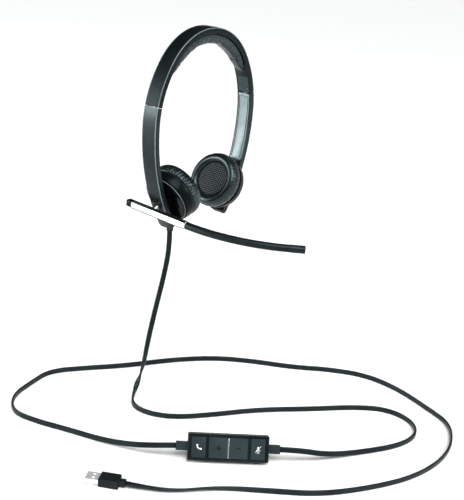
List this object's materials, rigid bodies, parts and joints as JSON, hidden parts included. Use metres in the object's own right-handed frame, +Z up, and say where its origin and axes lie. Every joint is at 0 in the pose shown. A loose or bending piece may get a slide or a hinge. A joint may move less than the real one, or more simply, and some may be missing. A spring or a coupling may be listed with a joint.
{
  "type": "office headset",
  "caption": "Corded office headset: padded sprung headband, sliding arms, swivelling on-ear cups, swing-up microphone boom, in-line call controller and USB-A plug.",
  "frame": {"origin": "middle of the space between the two ear cushions, where the wearer's head sits", "axes": "+X to the wearer's left, -Y to the wearer's front, +Z up over the crown"},
  "size_m": [0.3591, 0.3781, 0.3628],
  "materials": {
    "leatherette": "satin",
    "shell": "satin",
    "gloss": "gloss",
    "panel": "satin",
    "steel": "satin",
    "trim": "brushed",
    "mesh": "matte",
    "cord": "satin",
    "inner": "matte",
    "board": "satin",
    "contact": "gloss",
    "keys": "satin",
    "marking": "matte",
    "plug_shell": "gloss",
    "magnet": "satin",
    "tongue": "satin"
  },
  "bodies": {
    "right_arm": {"right_arm_shell": "shell", "right_arm_panel": "panel", "right_pivot_cover": "panel", "right_foot_cap": "shell", "right_slide_rail": "steel", "boom_bush": "shell", "cord_boot": "cord", "cord_upper": "cord", "controller_front": "shell", "controller_back": "shell", "controller_board": "board", "key_switches": "inner", "relief_headset_end": "cord", "relief_plug_end": "cord", "cord_lower": "cord", "plug_overmould": "cord", "plug_shell": "plug_shell", "plug_tongue": "tongue", "plug_contacts": "contact"},
    "headband": {"band_outer": "leatherette", "band_spring": "steel", "band_liner": "shell", "band_cushion": "leatherette", "right_end_cover": "shell", "left_end_cover": "shell", "end_cover_screws": "steel"},
    "left_arm": {"left_arm_shell": "shell", "left_arm_panel": "panel", "left_pivot_cover": "panel", "left_foot_cap": "shell", "left_slide_rail": "steel"},
    "right_swivel": {"right_swivel_barrel": "inner"},
    "left_swivel": {"left_swivel_barrel": "inner"},
    "right_cup": {"right_ear_cushion": "leatherette", "right_speaker_mesh": "mesh", "right_speaker_baffle": "inner", "right_driver_frame": "inner", "right_driver_magnet": "magnet", "right_cup_housing": "shell", "right_cup_disc": "gloss", "right_tilt_pin": "steel"},
    "left_cup": {"left_ear_cushion": "leatherette", "left_speaker_mesh": "mesh", "left_speaker_baffle": "inner", "left_driver_frame": "inner", "left_driver_magnet": "magnet", "left_cup_housing": "shell", "left_cup_disc": "gloss", "left_tilt_pin": "steel"},
    "boom": {"boom_hub": "steel", "boom_carrier": "shell", "boom_trim": "trim", "boom_end_cap": "shell", "boom_tube": "cord", "mic_tip": "inner", "mic_capsule": "contact"},
    "call_key": {"call_key": "keys"},
    "volume_rocker": {"volume_rocker": "keys", "volume_divider": "trim"},
    "mute_key": {"mute_key": "keys"}
  },
  "joints": [
    {"name": "right_slider", "type": "hinge", "parent": "right_arm", "child": "headband", "pos_m": [0.17309, 0, 0.01866], "axis": [0, 1, 0], "range_deg": [0, 4.6]},
    {"name": "left_slider", "type": "hinge", "parent": "headband", "child": "left_arm", "pos_m": [-0.17309, 0, 0.01866], "axis": [0, 1, 0], "range_deg": [0, 4.6]},
    {"name": "right_cup_swivel", "type": "hinge", "parent": "right_arm", "child": "right_swivel", "pos_m": [-0.04863, 0, -0.01435], "axis": [-0.4384, 0, 0.8988], "range_deg": [-12, 12]},
    {"name": "left_cup_swivel", "type": "hinge", "parent": "left_arm", "child": "left_swivel", "pos_m": [0.04863, 0, -0.01435], "axis": [0.4384, 0, 0.8988], "range_deg": [-12, 12]},
    {"name": "right_cup_tilt", "type": "hinge", "parent": "right_swivel", "child": "right_cup", "pos_m": [-0.04863, 0, -0.01435], "axis": [0, 1, 0], "range_deg": [-5, 5]},
    {"name": "left_cup_tilt", "type": "hinge", "parent": "left_swivel", "child": "left_cup", "pos_m": [0.04863, 0, -0.01435], "axis": [0, 1, 0], "range_deg": [-5, 5]},
    {"name": "boom_swing", "type": "hinge", "parent": "right_arm", "child": "boom", "pos_m": [-0.05528, 0, -0.0176], "axis": [-0.8988, 0, -0.4384], "range_deg": [-50, 100]},
    {"name": "call_press", "type": "slide", "parent": "right_arm", "child": "call_key", "axis": [0.689, 0.6204, -0.3746], "range_m": [0, 0.0006], "stiffness_N_per_m": 500},
    {"name": "mute_press", "type": "slide", "parent": "right_arm", "child": "mute_key", "axis": [0.689, 0.6204, -0.3746], "range_m": [0, 0.0006], "stiffness_N_per_m": 500},
    {"name": "volume_rock", "type": "hinge", "parent": "right_arm", "child": "volume_rocker", "pos_m": [-0.11107, -0.15286, -0.1957], "axis": [0.2784, 0.2507, 0.9272], "range_deg": [-2, 2], "stiffness_Nm_per_rad": 0.26}
  ]
}
